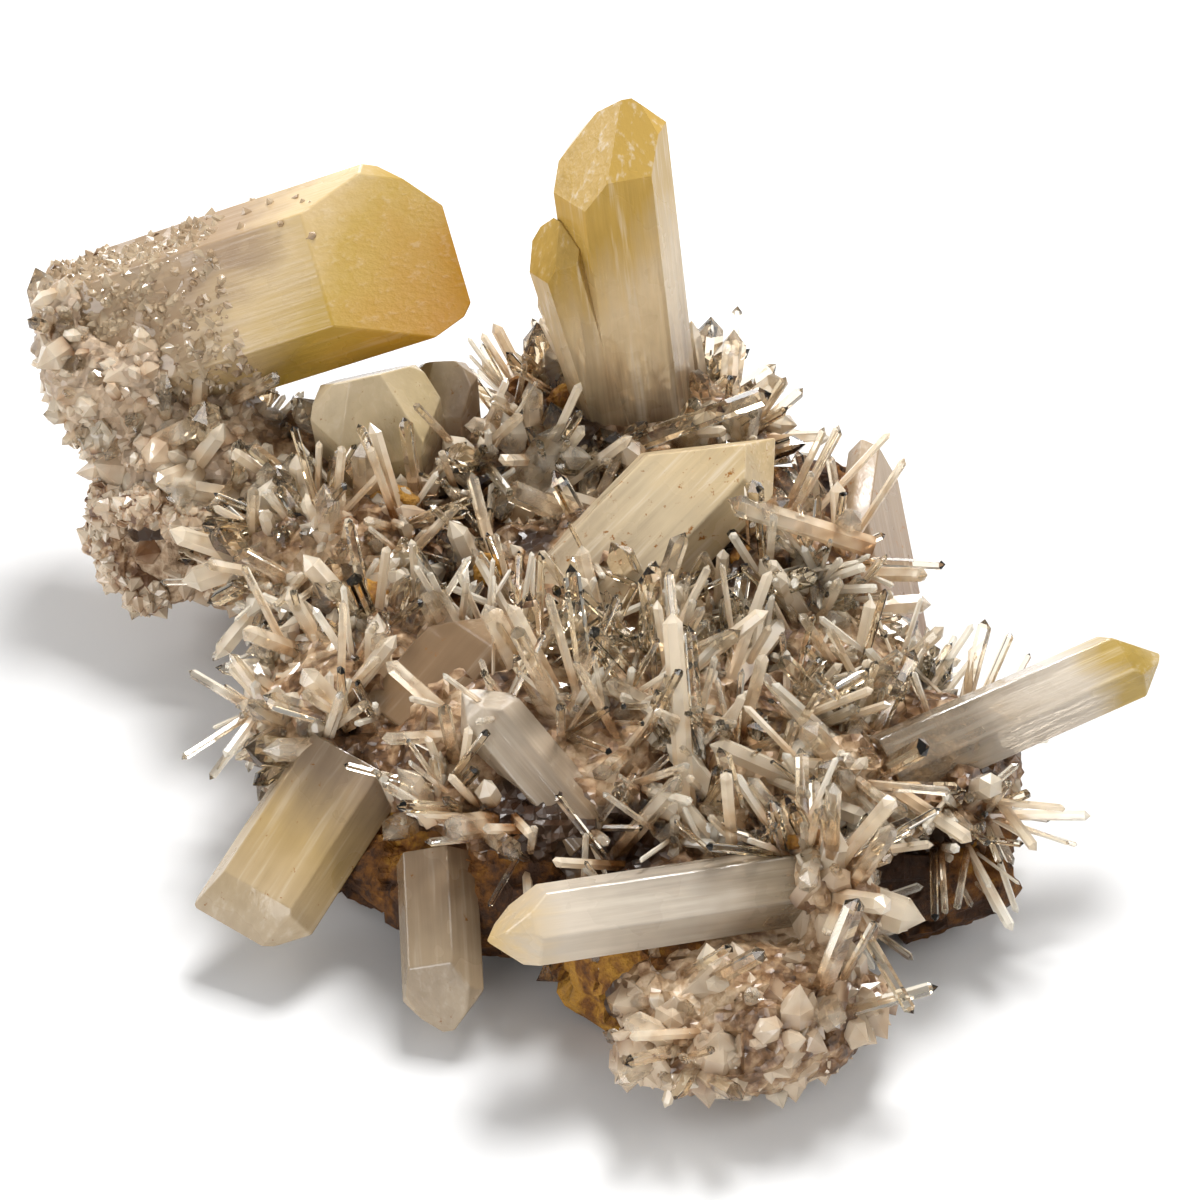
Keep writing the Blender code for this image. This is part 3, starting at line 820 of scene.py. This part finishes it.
fine = scattered(bed.data, Growth(
    430, 5, (4, 9), (2.5, 8.0), (0.4, 0.9), math.radians(66), 0.8,
    {"clump": 0.0, "crust": 0.04, "field": 1.0, "border": 0.35},
))
fine_needles = needles_piece("fine_needles", fine, 6)
stout = scattered(bed.data, Growth(
    420, 21, (1, 3), (2.0, 6.0), (1.5, 3.2), math.radians(60), 1.0,
    {"clump": 0.0, "crust": 0.2, "field": 0.35, "border": 1.0},
))
stout_crystals = needles_piece("stout_crystals", stout, 22)
short = scattered(bed.data, Growth(
    1300, 8, (1, 3), (0.6, 2.2), (0.9, 2.0), math.radians(55), 0.8,
    {"clump": 0.2, "crust": 0.8, "field": 0.6, "border": 1.0},
))
stubs = needles_piece("stubs", short, 9)
NOWHERE = {"clump": 0, "crust": 0, "field": 0, "border": 0}
ON_CRUST = NOWHERE | {"crust": 1}
ON_CLUMP = NOWHERE | {"clump": 1}
blunt = scattered(bed.data, Growth(
    1500, 10, (1, 1), (0.4, 1.5), (2.2, 4.4), math.radians(50), 2.6,
    ON_CRUST | {"field": 0.05, "border": 0.15},
))
blunt += scattered(rock.data, Growth(
    1500, 12, (1, 1), (0.3, 1.4), (1.6, 4.0), math.radians(50), 2.2, ON_CRUST,
))
blunt += scattered(bed.data, Growth(
    3200, 14, (1, 2), (0.3, 1.2), (0.8, 1.8), math.radians(60), 0.8, ON_CRUST | {"border": 0.12},
))
blunt += scattered(knobs.data, Growth(
    1500, 15, (1, 2), (0.1, 0.7), (0.9, 2.2), math.radians(60), 0.8, ON_CRUST | {"border": 1.0},
))
crust = needles_piece("blunt_crust", blunt, 11)
blocks = scattered(bed.data, Growth(
    3600, 16, (1, 1), (0.2, 1.2), (2.0, 4.4), math.radians(42), 2.6, ON_CLUMP,
))
blocks += scattered(knobs.data, Growth(
    900, 17, (1, 1), (0.1, 0.7), (2.0, 3.6), math.radians(50), 2.2, ON_CLUMP,
))
clump = needles_piece("clump_blocks", blocks, 18)

# %% [markdown]
# The foot of the great crystal is crusted too: low, blunt crystals have grown over its faces, crowded at
# the broken end and thinning out towards the middle, with a few more along its upper edge. A line outwards
# from the axis meets the nearest of the crystal's planes, which gives each of them a point and a normal.

# %% Low crystals on the great crystal
def surface_point(crystal, reach, turn):
    """Where a line from the axis, at this distance from the foot, leaves the crystal: (point, normal)."""
    foot, tip = Vector(crystal.foot), Vector(crystal.tip)
    axis = (tip - foot).normalized()
    out = leaning(axis, math.pi / 2, turn)
    start = foot + axis * reach
    ways = [
        ((on - start).dot(normal) / out.dot(normal), normal)
        for on, normal in crystal_planes(crystal) if out.dot(normal) > 0.01
    ]
    distance, normal = min(ways, key=lambda way: way[0])
    return start + out * distance, normal


def overgrowth(crystal, count, seed, reaches, width, height):
    """Blunt crystals on the faces, more of them near the first of the two reaches."""
    draw = random.Random(seed)
    found = []
    for _ in range(count):
        reach = reaches[0] + (reaches[1] - reaches[0]) * draw.random() ** 1.7
        point, normal = surface_point(crystal, reach, draw.uniform(0, 2 * math.pi))
        direction = leaning(normal, math.radians(40) * draw.random(), draw.uniform(0, 2 * math.pi))
        end = point + direction * draw.uniform(*height)
        grown = Needle(end - direction * 1.6, end, draw.uniform(*width), draw.uniform(0, 3))
        depth = grown.width * 0.3
        rooted = all((grown.foot - on).dot(side) < -depth for on, side in crystal_planes(crystal))
        if rooted and in_box(end, 0.3):
            found.append(grown)
    return found


GREAT = CRYSTALS[0]
UPPER_EDGE = 35.5  # only above this height do single crystals sit so far from the foot
low = overgrowth(GREAT, 2600, 31, (0.3, 17.5), (1.2, 3.4), (0.05, 0.6))
single = overgrowth(GREAT, 160, 32, (9.0, 27.0), (0.6, 1.5), (0.1, 0.6))
low += [grown for grown in single if grown.tip.z > UPPER_EDGE]
great_crust = needles_piece("great_crystal_crust", low, 33)

# %% [markdown]
# Clear quartz is see-through, with an index of refraction of 1.544 and a little absorption. These needles
# are clearest at their tips and clouded or stained brown at their feet, where iron has crept in. So a clear
# surface and a cloudy one are mixed by the two numbers that each needle carries. The crusts need only one
# surface, cloudier and broken into small planes. Absorption costs render time and shows only in the stout
# crystals, so only they have it.

# %% Finish of the small crystals
CLEAR_TINT = (1.0, 0.92, 0.78, 1)


def small_crystal_finish(name, milky, stains, density=0.0):
    """milky is the share of cloudy surface at (foot, tip). stains are colour stops from foot to tip."""
    finish = Finish(name)
    colour, cloud, along, tint = small_crystal_colour(finish, stains)
    share = milky[0] + along * (milky[1] - milky[0]) + (tint - 0.5) * 0.8 + (cloud - 0.5) * 0.6
    clear = finish.surface(
        {"Base Color": CLEAR_TINT, "Roughness": 0.0, "IOR": QUARTZ_IOR, "Transmission Weight": 1.0}
    )
    cloudy = finish.surface(
        {"Base Color": colour, "Roughness": 0.12, "IOR": QUARTZ_IOR, "Transmission Weight": 0.5}
    )
    return finish.done(finish.mixed(finish.step(share, 0.25, 0.75), clear, cloudy), ABSORBED, density)


def small_crystal_colour(finish, stains):
    """The stained colour, darkened inside the hollows as painted shade, with the noise and the two numbers of
    the needle that it was made from.
    """
    along = finish.stored("along")
    tint = finish.stored("tint")
    cloud = finish.noise(0.5, 1)
    # Painted shade: inside a hollow the level falls towards the dark foot colours.
    level = along * 0.6 + tint * 0.35 + (cloud - 0.5) * 0.9 - finish.stored("hollow") * 0.9
    return finish.colours(level.clamped(), *stains), cloud, along, tint


def crust_finish(name, clarity, stains, grain):
    """Cloudy crystals with small tilted planes. clarity is the share of light let through."""
    finish = Finish(name)
    colour, cloud, _, _ = small_crystal_colour(finish, stains)
    relief = finish.bump(cloud * 0.1 + finish.facets(1.2) * grain, 1.0)
    return finish.done(finish.surface({
        "Base Color": colour, "Roughness": 0.1, "IOR": QUARTZ_IOR, "Normal": relief,
        "Transmission Weight": clarity,
    }))


STAINED = (
    (0.05, (0.22, 0.09, 0.025)), (0.22, (0.62, 0.38, 0.20)),
    (0.4, (0.93, 0.71, 0.47)), (0.75, (1.0, 0.88, 0.70)),
)
BRIGHT = (
    (0.05, (0.42, 0.21, 0.085)), (0.22, (0.88, 0.64, 0.41)),
    (0.45, (1.0, 0.87, 0.69)), (0.8, (1.0, 0.94, 0.82)),
)
CRUSTED = (
    (0.1, (0.33, 0.17, 0.085)), (0.35, (0.66, 0.45, 0.28)),
    (0.6, (0.86, 0.66, 0.46)), (0.9, (0.97, 0.83, 0.64)),
)
BLOCKS = (
    (0.1, (0.27, 0.15, 0.08)), (0.35, (0.51, 0.35, 0.22)),
    (0.6, (0.67, 0.50, 0.34)), (0.9, (0.83, 0.67, 0.49)),
)
PEACH = (
    (0.1, (0.21, 0.125, 0.07)), (0.35, (0.40, 0.27, 0.165)),
    (0.6, (0.54, 0.39, 0.24)), (0.9, (0.67, 0.53, 0.36)),
)
needles.data.materials.append(small_crystal_finish("clear_needles", (0.7, 0.36), STAINED))
stout_quartz = small_crystal_finish("stout_crystals", (0.65, 0.3), STAINED, ABSORPTION)
stout_crystals.data.materials.append(stout_quartz)
fine_needles.data.materials.append(small_crystal_finish("bright_needles", (0.7, 0.43), BRIGHT))
stubs.data.materials.append(small_crystal_finish("clouded_stubs", (0.85, 0.5), STAINED))
crust.data.materials.append(crust_finish("crust_crystals", 0.5, CRUSTED, 0.15))
clump.data.materials.append(crust_finish("clump_blocks", 0.4, BLOCKS, 0.12))
great_crust.data.materials.append(crust_finish("peach_crust", 0.4, PEACH, 0.2))
print("small crystals finished")

# %% [markdown]
# # Rust and ochre between the crystals
# Small knobs of soft iron ochre sit between the crystals, bright orange-brown against the quartz. They are
# lumps again, with a brighter version of the rock's finish.

# %% Knobs of ochre
OCHRE = [
    Lump((-9.6, 5, 17.2), (1.3, 1.1, 1.5)),
    Lump((-22.5, 0.5, 16.8), (3, 1.6, 1.2)),
    Lump((-19.6, 1.6, 17.2), (1.8, 1.3, 1)),
    Lump((18.6, 19, 16.2), (3.2, 2, 2)),
    Lump((21.2, 17.5, 15.5), (2, 2, 1.8)),
    Lump((-17.6, 13.4, 18.6), (2.3, 1.1, 1)),
    Lump((-3.4, 27.2, 19.6), (1.6, 1.2, 1.4)),
    Lump((-7, 30, 18.8), (1.8, 1.4, 1.4)),
    Lump((24.2, 14, 9.5), (1.6, 1.6, 2.6)),
    Lump((12.6, 5.5, 18), (1.6, 1.2, 1)),
    Lump((16, -27.6, 16), (1.6, 1.2, 1)),
]

bm = joined_lumps(OCHRE, 0.3)
roughen(bm, bump=0.5, fine=0.5)
ochre = piece_from(bm, "ochre_knobs")
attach(ochre, "root")
ochre.data.materials.append(iron_stained("ochre_knobs", 0.10))
print("ochre faces:", len(ochre.data.polygons))

# %% [markdown]
# # The large crystals
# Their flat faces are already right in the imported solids. What the solids lack is the narrow rounded edge
# that catches light, so each is copied, its loose triangles are merged, and its edges get a fine bevel.

# %% Copies of the large crystals with soft edges
def soft_edged(node, bevel):
    bm = bmesh.new()
    bm.from_mesh(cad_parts[node].data)
    bmesh.ops.remove_doubles(bm, verts=bm.verts, dist=1e-6)
    bmesh.ops.dissolve_limit(bm, angle_limit=math.radians(1), verts=bm.verts, edges=bm.edges)
    bmesh.ops.bevel(
        bm, geom=bm.edges[:], affect="EDGES", offset=bevel * MM, segments=2, profile=0.5, material=-1,
        clamp_overlap=True,
    )
    bmesh.ops.recalc_face_normals(bm, faces=bm.faces)
    bmesh.ops.translate(bm, verts=bm.verts, vec=CENTRE * MM)
    piece = piece_from(bm, node + "_faces")
    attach(piece, "root")
    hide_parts(node)
    return piece


EDGE = 0.14  # a bevel in millimetres, just wide enough to catch light
names = dict.fromkeys(crystal.name for crystal in CRYSTALS)
large = {name: soft_edged(name, EDGE) for name in names}
for name, piece in large.items():
    print(name, "faces:", len(piece.data.polygons))

# %% [markdown]
# Mango quartz takes its colour from halloysite enclosed near the tips. The crystals are smoky-clear at the
# foot, turn milky, and end yellow to orange. So the finish measures how far along the axis each point lies,
# bends that with noise, and looks the colour up in a ramp. Streaks run along the axis, which is why their
# noise is squeezed in that direction. A Mix Shader goes from clear to milky, and a bump gives growth lines.

# %% Finish of the large crystals
NO_LEAN = (0, 0, 0)  # the colour follows the axis alone
LOOK_FIELDS = "slot tints milky streaks rust lean pale_above crusted_to"
Look = namedtuple("Look", LOOK_FIELDS, defaults=[NO_LEAN, 0, 0])
VEIL = (0.74, 0.66, 0.54)
RUST = (0.30, 0.12, 0.02)
PAINTED_SHEEN_COLOUR = (0.51, 0.42, 0.25)
BEIGE = (0.38, 0.26, 0.155)
CRUST = (0.46, 0.34, 0.22)


def mango_finish(name, crystal, look):
    """Yellow towards the tip. The look's tints are colour stops and its milky shares, from foot to tip."""
    foot = Vector(crystal.foot) - CENTRE
    axis = Vector(crystal.tip) - Vector(crystal.foot)
    length = axis.length
    axis.normalize()
    finish = Finish(name)
    offset = finish.vector("SUBTRACT", finish.place, foot)
    reach = finish.vector("DOT_PRODUCT", offset, axis, "Value")
    sideways = finish.vector("DOT_PRODUCT", offset, look.lean, "Value")
    pulled = finish.node("ShaderNodeVectorMath", {"operation": "SCALE"}, {0: axis, "Scale": reach * 0.94})
    squeezed = finish.vector("SUBTRACT", offset, pulled)
    along = (reach + sideways) * (1 / length)
    cloud = finish.noise(0.14, 3)
    streak = finish.noise(0.9, 3, 0.6, squeezed)
    hair = finish.noise(2.6, 2, 0.6, squeezed)
    level = along + (cloud - 0.5) * 0.25 + (streak - 0.5) * 0.3 * look.streaks
    colour = finish.colours(level.clamped(), *look.tints)
    veils = finish.step(streak * 0.6 + hair * 0.4, 0.52, 0.68) * (0.5 * look.streaks)
    colour = finish.blend(veils, colour, VEIL)
    if look.rust:
        specks = finish.step(finish.noise(1.1, 5, 0.7), 0.66 - look.rust, 0.72 - look.rust)
        colour = finish.blend(specks, colour, RUST)
    # Painted sheen: above this height the top is paled towards a light straw, for the gloss that reflects the
    # light.
    if look.pale_above:
        height = finish.node("ShaderNodeSeparateXYZ", {}, {0: offset}, "Z")
        top = finish.step(height + (cloud - 0.5) * 2, look.pale_above, look.pale_above + 2.5)
        colour = finish.blend(top * 0.8, colour, PAINTED_SHEEN_COLOUR)
    veil = look.milky[0] + reach * ((look.milky[1] - look.milky[0]) / length) + (cloud - 0.5) * 0.5
    veil = veil + (streak - 0.5) * 0.7 * look.streaks
    height = streak * 0.6 + hair * 0.3
    if look.crusted_to:
        crusted = 1 - finish.step(reach + (cloud - 0.5) * 14, look.crusted_to * 0.5, look.crusted_to)
        crust_tint = finish.colours(streak, (0.35, BEIGE), (0.6, CRUST))
        colour = finish.blend(crusted * 0.8, colour, crust_tint)
        height = height + finish.facets(1.7) * crusted * 9
    relief = finish.bump(height, 0.09)
    clear = finish.surface({
        "Base Color": colour, "Roughness": 0.06, "IOR": QUARTZ_IOR, "Normal": relief,
        "Transmission Weight": 0.95,
    })
    cloudy = finish.surface({
        "Base Color": colour, "Roughness": 0.18 + cloud * 0.2, "IOR": QUARTZ_IOR, "Normal": relief,
    })
    return finish.done(finish.mixed(veil.clamped(), clear, cloudy))


by_name = {}
for crystal in CRYSTALS:
    by_name.setdefault(crystal.name, crystal)

# %% [markdown]
# Each crystal then needs only its own row: the tints from foot to tip, how cloudy it is, how streaky, how
# rusty, and which way the colour leans off the axis. The great crystal is deeper in colour along its lower
# side, and the tall one along its left. The great crystal's top also gets a painted sheen, and its foot a
# crust.

# %% One row of looks for each large crystal
SMOKE = (0.33, 0.235, 0.15)
GREY = (0.50, 0.39, 0.26)
STRAW = (0.48, 0.335, 0.145)
PALE = (0.60, 0.48, 0.31)
YELLOW = (0.49, 0.31, 0.07)
GOLD = (0.425, 0.275, 0.05)
MANGO = (0.40, 0.19, 0.007)
MILK = (0.62, 0.535, 0.43)
CREAM = (0.56, 0.45, 0.33)
OLIVE = (0.42, 0.28, 0.055)
SAGE = (0.56, 0.44, 0.245)
UMBER = (0.25, 0.155, 0.08)
WARM = (0.70, 0.54, 0.33)

LOOKS = {
    "great_crystal": Look(
        "mango", ((0.06, BEIGE), (0.15, BEIGE), (0.27, (0.56, 0.41, 0.21)), (0.42, GOLD), (0.68, MANGO)),
        # The painted sheen starts 17 mm above the foot, and the crust reaches 18 mm along the axis.
        (0.8, 1.1), 0.3, 0, (0, 0, -1.0), 17.0, 18.0,
    ),
    "tall_pair": Look(
        "mango", ((0.18, SMOKE), (0.42, WARM), (0.56, WARM), (0.8, YELLOW), (1.0, YELLOW)),
        (0.15, 1.2), 1.0, 0, (-0.9, 0, 0),
    ),
    "stub_pair": Look(
        "pale_mango", ((0.1, SMOKE), (0.45, SAGE), (1.0, PALE)), (0.6, 0.95), 0.3, 0.03, (-1.2, 0, 0),
    ),
    "centre_crystal": Look(
        "pale_mango", ((0.2, GREY), (0.5, PALE), (1.0, STRAW)), (0.75, 0.95), 0.9, 0.05,
    ),
    "right_crystal": Look(
        "mango", ((0.1, GREY), (0.5, MILK), (0.66, MILK), (0.8, OLIVE), (1.0, OLIVE)),
        (0.15, 0.9), 0.7, 0,
    ),
    "front_crystal": Look(
        "cream", ((0.1, GREY), (0.35, MILK), (0.75, MILK), (1.0, YELLOW)), (0.3, 1.0), 0.7, 0,
    ),
    "hanging_crystal": Look(
        "milky", ((0.1, BEIGE), (0.6, (0.44, 0.33, 0.21)), (1.0, GREY)), (0.5, 0.65), 0.4, 0.02,
    ),
    "corner_crystal": Look(
        "cream", ((0.1, SMOKE), (0.5, STRAW), (1.0, GREY)), (0.6, 0.75), 0.5, 0.03,
    ),
    "sunken_crystal": Look(
        "milky", ((0.0, UMBER), (0.7, UMBER), (1.0, BEIGE)), (0.6, 0.7), 0.4, 0.02,
    ),
    "milky_crystal": Look(
        "milky", ((0.1, BEIGE), (0.5, CREAM), (1.0, MILK)), (0.45, 0.7), 0.5, 0,
    ),
    "rim_plate": Look(
        "pink_crust", ((0.1, (0.19, 0.10, 0.045)), (0.5, (0.29, 0.195, 0.115)), (1.0, (0.38, 0.28, 0.18))),
        (0.9, 1.0), 0.5, 0.05,
    ),
}
for name, look in LOOKS.items():
    large[name].data.materials.append(mango_finish(name + "_quartz", by_name[name], look))
print("large crystals finished:", len(LOOKS))

# %% [markdown]
# # Floor, light and camera
# The photograph was taken on white, under broad soft light that leaves only a grey shadow close to the
# stone. A large pale plane and five soft panels give that.

# %% The floor
bm = bmesh.new()
bmesh.ops.create_grid(bm, x_segments=1, y_segments=1, size=1.5)
floor_mesh = bpy.data.meshes.new("floor")
bm.to_mesh(floor_mesh)
bm.free()
floor = bpy.data.objects.new("floor", floor_mesh)
bpy.context.scene.collection.objects.link(floor)
finish = Finish("white_floor")
tone = 0.86 + finish.noise(0.02, 0) * 0.02
paper = finish.colours(tone, (0.8, (0.70, 0.70, 0.70)), (1.0, (0.76, 0.76, 0.76)))
floor_mesh.materials.append(finish.done(finish.surface({"Base Color": paper, "Roughness": 0.9})))

# %% [markdown]
# Five square area lights stand for windows and white walls. The one overhead is the smallest and strongest,
# so it makes the shadow, and a low one in front lifts the undersides of the large crystals.

# %% The lights
AIM = (0, 0, 0.02)


def soft_panel(name, place, size, watts):
    light = bpy.data.lights.new(name, "AREA")
    light.shape = "SQUARE"
    light.size = size
    light.energy = watts
    panel = bpy.data.objects.new(name, light)
    panel.location = place
    panel.rotation_euler = (Vector(AIM) - Vector(place)).to_track_quat("-Z", "Y").to_euler()
    bpy.context.scene.collection.objects.link(panel)


soft_panel("overhead", (0.10, 0.24, 0.57), 0.22, 4.6)
soft_panel("window", (0.55, -0.10, 0.40), 0.35, 1.4)
soft_panel("left_panel", (-0.50, 0.10, 0.30), 0.25, 1.0)
soft_panel("back_panel", (-0.10, 0.60, 0.22), 0.25, 1.2)
soft_panel("front_fill", (-0.30, -0.55, 0.14), 0.35, 2.2)
world = bpy.data.worlds.new("white_room")
world.use_nodes = True
backdrop = world.node_tree.nodes["Background"]
backdrop.inputs["Color"].default_value = (1, 1, 1, 1)
backdrop.inputs["Strength"].default_value = 0.32
bpy.context.scene.world = world
bpy.context.scene.view_settings.view_transform = "Standard"
print("lights: 5 panels")

# %% [markdown]
# The photograph looks down by about 38 degrees from some 28 centimetres, close enough to make the front
# look larger. The camera is aimed at the middle of the cluster, 18 millimetres above the floor.

# %% The camera
ELEVATION = math.radians(38)
DISTANCE = 0.28
target = (Vector((0, 0, 18)) - CENTRE) * MM
camera_data = bpy.data.cameras.new("camera")
camera_data.lens = 100.8
camera_data.sensor_width = 36
camera_data.clip_start = 0.01
camera = bpy.data.objects.new("camera", camera_data)
camera.location = target + DISTANCE * Vector((0, -math.cos(ELEVATION), math.sin(ELEVATION)))
camera.rotation_euler = (target - camera.location).to_track_quat("-Z", "Y").to_euler()
bpy.context.scene.collection.objects.link(camera)
bpy.context.scene.camera = camera
